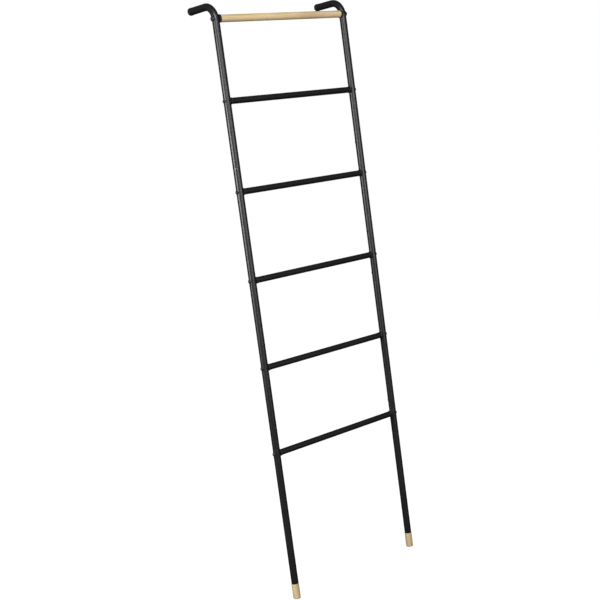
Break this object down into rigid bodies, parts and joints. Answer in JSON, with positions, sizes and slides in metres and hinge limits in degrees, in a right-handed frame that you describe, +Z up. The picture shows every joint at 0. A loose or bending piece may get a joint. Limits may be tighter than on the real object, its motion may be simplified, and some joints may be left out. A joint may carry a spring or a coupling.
{
  "type": "blanket ladder",
  "caption": "Leaning ladder rack for quilts and blankets: bent black steel rails on wooden feet, steel rungs and a wooden top rung.",
  "frame": {"origin": "on the floor, under the middle of the ladder's width and of its depth from the feet's front to the wall", "axes": "+Z up, +Y towards the wall that the ladder leans on, +X along the rungs to the right as seen from the room. The rails lean 11.8 degrees from +Z towards +Y."},
  "size_m": [0.479, 0.449, 1.5972],
  "materials": {
    "black_coated_steel": "fine textured powder coat, satin",
    "pale_wood": "pale straight-grained wood, clear satin lacquer",
    "black_plastic": "moulded, fine matte",
    "cap_rubber": "soft matte",
    "pad_rubber": "grey-beige, soft matte",
    "black_screw_steel": "black, semi-gloss",
    "zinc_steel": "bright zinc plate"
  },
  "bodies": {
    "root": {"joint_screw_washers": "black_screw_steel", "joint_screws": "black_screw_steel", "left_arm_cap": "cap_rubber", "left_foot_pad": "pad_rubber", "left_foot_tube": "black_coated_steel", "left_lower_sleeve": "zinc_steel", "left_lower_tube": "black_coated_steel", "left_middle_sleeve": "zinc_steel", "left_rung_collar": "black_plastic", "left_top_tube": "black_coated_steel", "left_upper_sleeve": "zinc_steel", "left_upper_tube": "black_coated_steel", "left_wooden_foot": "pale_wood", "right_arm_cap": "cap_rubber", "right_foot_pad": "pad_rubber", "right_foot_tube": "black_coated_steel", "right_lower_sleeve": "zinc_steel", "right_lower_tube": "black_coated_steel", "right_middle_sleeve": "zinc_steel", "right_rung_collar": "black_plastic", "right_top_tube": "black_coated_steel", "right_upper_sleeve": "zinc_steel", "right_upper_tube": "black_coated_steel", "right_wooden_foot": "pale_wood", "rung_bolt_washers": "black_screw_steel", "rung_bolts": "black_screw_steel", "rung_inserts": "zinc_steel", "rung_spacers": "black_plastic", "steel_rung_1": "black_coated_steel", "steel_rung_2": "black_coated_steel", "steel_rung_3": "black_coated_steel", "steel_rung_4": "black_coated_steel", "steel_rung_5": "black_coated_steel", "wood_bolt_washers": "black_screw_steel", "wood_bolts": "black_screw_steel", "wood_inserts": "zinc_steel", "wooden_rung": "pale_wood"}
  },
  "joints": []
}
